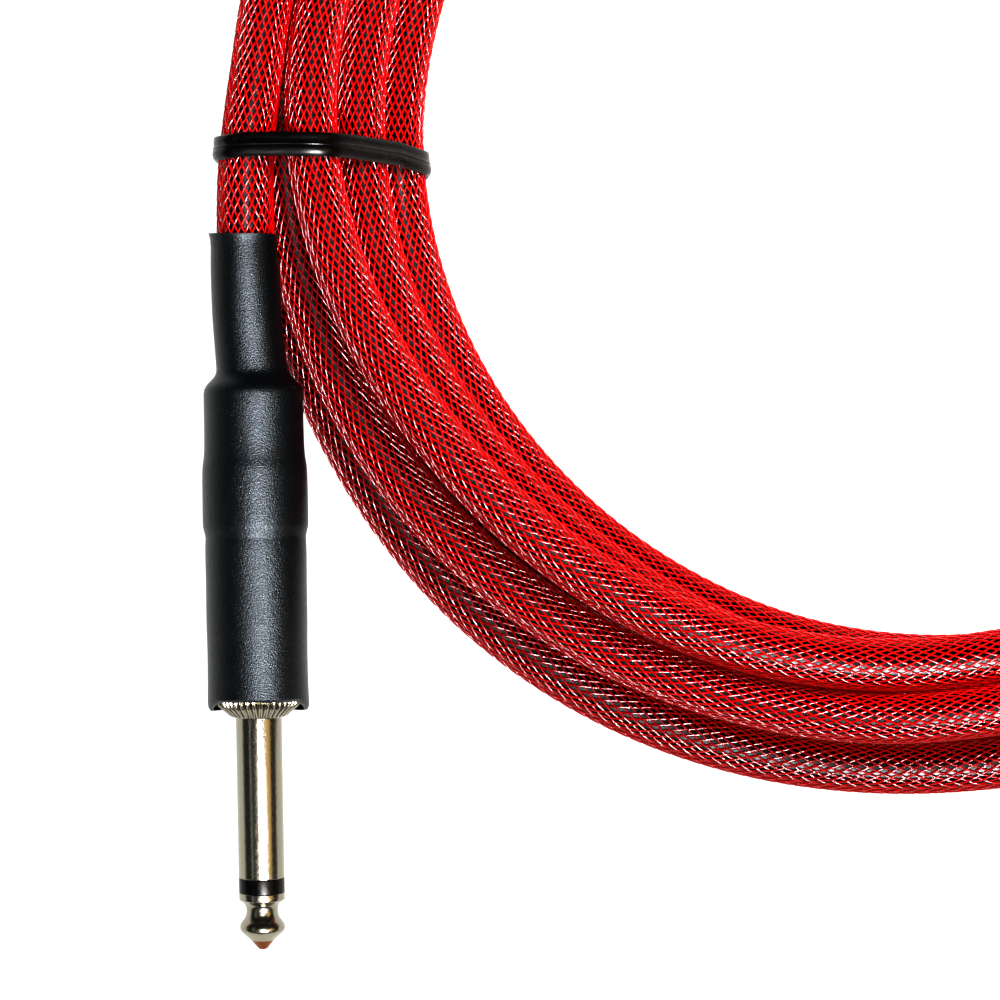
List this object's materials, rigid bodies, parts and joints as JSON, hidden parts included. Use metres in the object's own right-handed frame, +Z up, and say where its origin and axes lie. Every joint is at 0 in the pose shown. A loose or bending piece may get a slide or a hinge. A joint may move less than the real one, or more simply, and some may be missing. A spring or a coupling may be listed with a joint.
{
  "type": "instrument cable",
  "caption": "Braided instrument cable wound in a tied round coil, with a straight 6.35 mm phone plug in heat-shrink sleeves at each end.",
  "frame": {"origin": "on the surface the cable lies on, under the middle of its bounding box", "axes": "+Z up from that surface; the coil's axis is along +Z; plug A lies outside the coil at -X with its tip towards -Y"},
  "size_m": [0.1921, 0.2049, 0.0215],
  "materials": {
    "plug_metal": "bright nickel plate, turned, with fine lines",
    "plug_insulator": "black moulded plastic",
    "rod_brass": "plain turned brass",
    "solder_lugs": "tinned and pressed",
    "liner_plastic": "thin clear insulating tube",
    "heat_shrink": "black shrunk polyolefin, finely grained, soft sheen",
    "cord_jacket": "smooth black cable jacket",
    "core_plastic": "natural polyethylene",
    "copper": "bare copper strands",
    "cord_braid": "red expandable monofilament braid over a black jacket",
    "tie": "black flat plastic band with a soft gloss and a ridge along it"
  },
  "bodies": {
    "root": {"plug_a_tip_contact": "plug_metal", "plug_a_tip_insulator": "plug_insulator", "plug_a_sleeve_contact": "plug_metal", "plug_a_serrated_collar": "plug_metal", "plug_a_centre_rod": "rod_brass", "plug_a_rod_insulator": "plug_insulator", "plug_a_rear_washer": "plug_insulator", "plug_a_tip_lug": "solder_lugs", "plug_a_ground_terminal": "solder_lugs", "plug_a_barrel_liner": "liner_plastic", "plug_a_barrel": "plug_metal", "plug_a_front_sleeve": "heat_shrink", "plug_a_rear_sleeve": "heat_shrink", "plug_a_jacket_end": "cord_jacket", "plug_a_core_insulation": "core_plastic", "plug_a_tip_conductor": "copper", "plug_a_shield_pigtail": "copper", "plug_b_tip_contact": "plug_metal", "plug_b_tip_insulator": "plug_insulator", "plug_b_sleeve_contact": "plug_metal", "plug_b_serrated_collar": "plug_metal", "plug_b_centre_rod": "rod_brass", "plug_b_rod_insulator": "plug_insulator", "plug_b_rear_washer": "plug_insulator", "plug_b_tip_lug": "solder_lugs", "plug_b_ground_terminal": "solder_lugs", "plug_b_barrel_liner": "liner_plastic", "plug_b_barrel": "plug_metal", "plug_b_front_sleeve": "heat_shrink", "plug_b_rear_sleeve": "heat_shrink", "plug_b_jacket_end": "cord_jacket", "plug_b_core_insulation": "core_plastic", "plug_b_tip_conductor": "copper", "plug_b_shield_pigtail": "copper", "cord_coil": "cord_braid", "cord_lead_a": "cord_braid", "cord_lead_b": "cord_braid", "coil_tie": "tie"}
  },
  "joints": []
}
